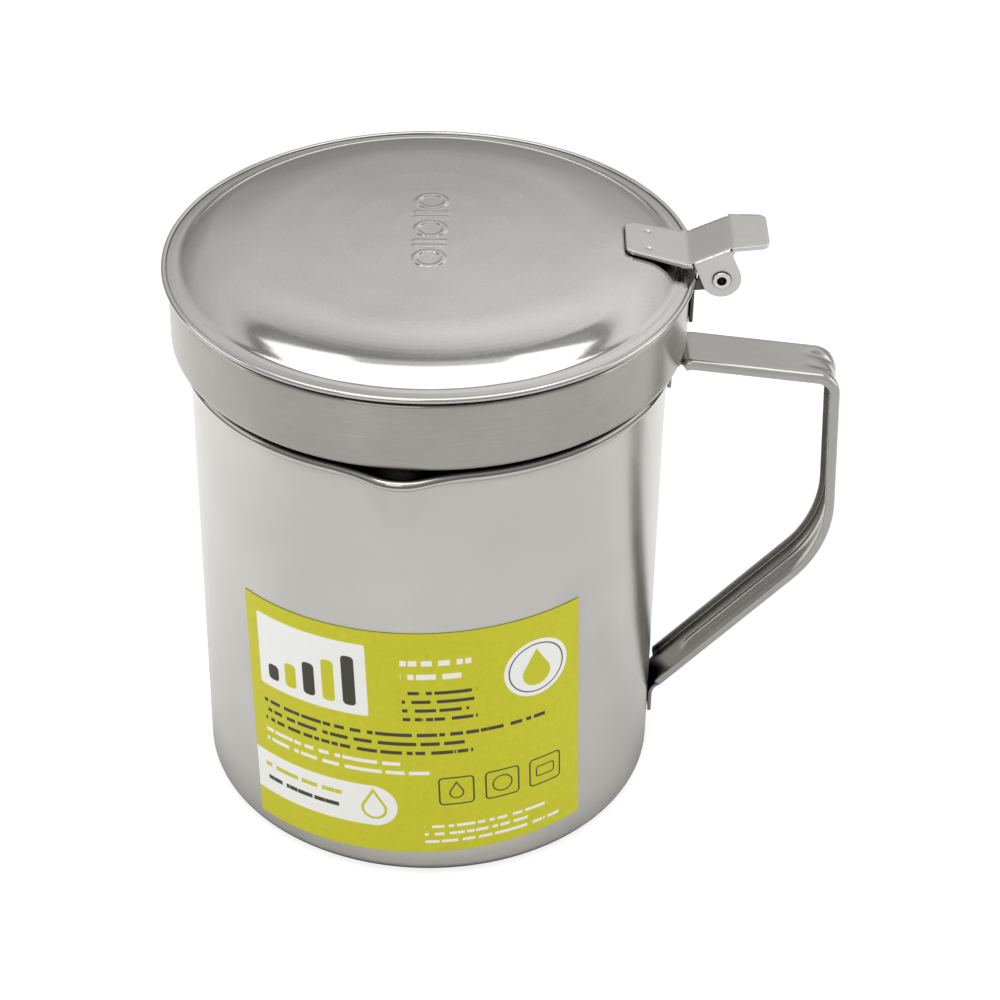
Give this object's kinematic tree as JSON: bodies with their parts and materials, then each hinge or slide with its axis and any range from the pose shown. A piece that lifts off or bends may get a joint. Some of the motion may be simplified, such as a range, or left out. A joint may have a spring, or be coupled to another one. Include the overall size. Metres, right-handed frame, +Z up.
{
  "type": "grease container",
  "caption": "Steel grease pot with a pouring lip and a strap handle, a perforated strainer basket in a loose collar on its mouth, and a hinged lid with a thumb lever.",
  "frame": {"origin": "centre of the pot's flat base, at the table", "axes": "+Z up along the pot's axis, +X towards the handle and the hinge, -Y towards the side with the pouring lip and the label"},
  "size_m": [0.1281, 0.0988, 0.1192],
  "materials": {
    "pot_steel": "satin, brushed around the pot, polished rim",
    "handle_steel": "satin",
    "collar_steel": "satin, brushed around the collar",
    "basket_steel": "satin",
    "lid_steel": "satin, with a polished edge",
    "rivet_steel": "polished steel",
    "label_paper": "printed, slightly glossy"
  },
  "bodies": {
    "pot": {"pot_body": "pot_steel", "handle": "handle_steel", "product_label": "label_paper"},
    "strainer": {"strainer_collar": "collar_steel", "hinge_bracket": "handle_steel", "hinge_rivet": "rivet_steel"},
    "basket": {"strainer_basket": "basket_steel"},
    "lid": {"lid": "lid_steel", "lid_lever": "lid_steel"}
  },
  "joints": [
    {"name": "collar_lift", "type": "slide", "parent": "pot", "child": "strainer", "axis": [0, 0, 1], "range_m": [0, 0.04]},
    {"name": "basket_lift", "type": "slide", "parent": "strainer", "child": "basket", "axis": [0, 0, 1], "range_m": [0, 0.012]},
    {"name": "lid_hinge", "type": "hinge", "parent": "strainer", "child": "lid", "pos_m": [0.05355, 0, 0.1123], "axis": [0, 1, 0], "range_deg": [0, 150]}
  ]
}
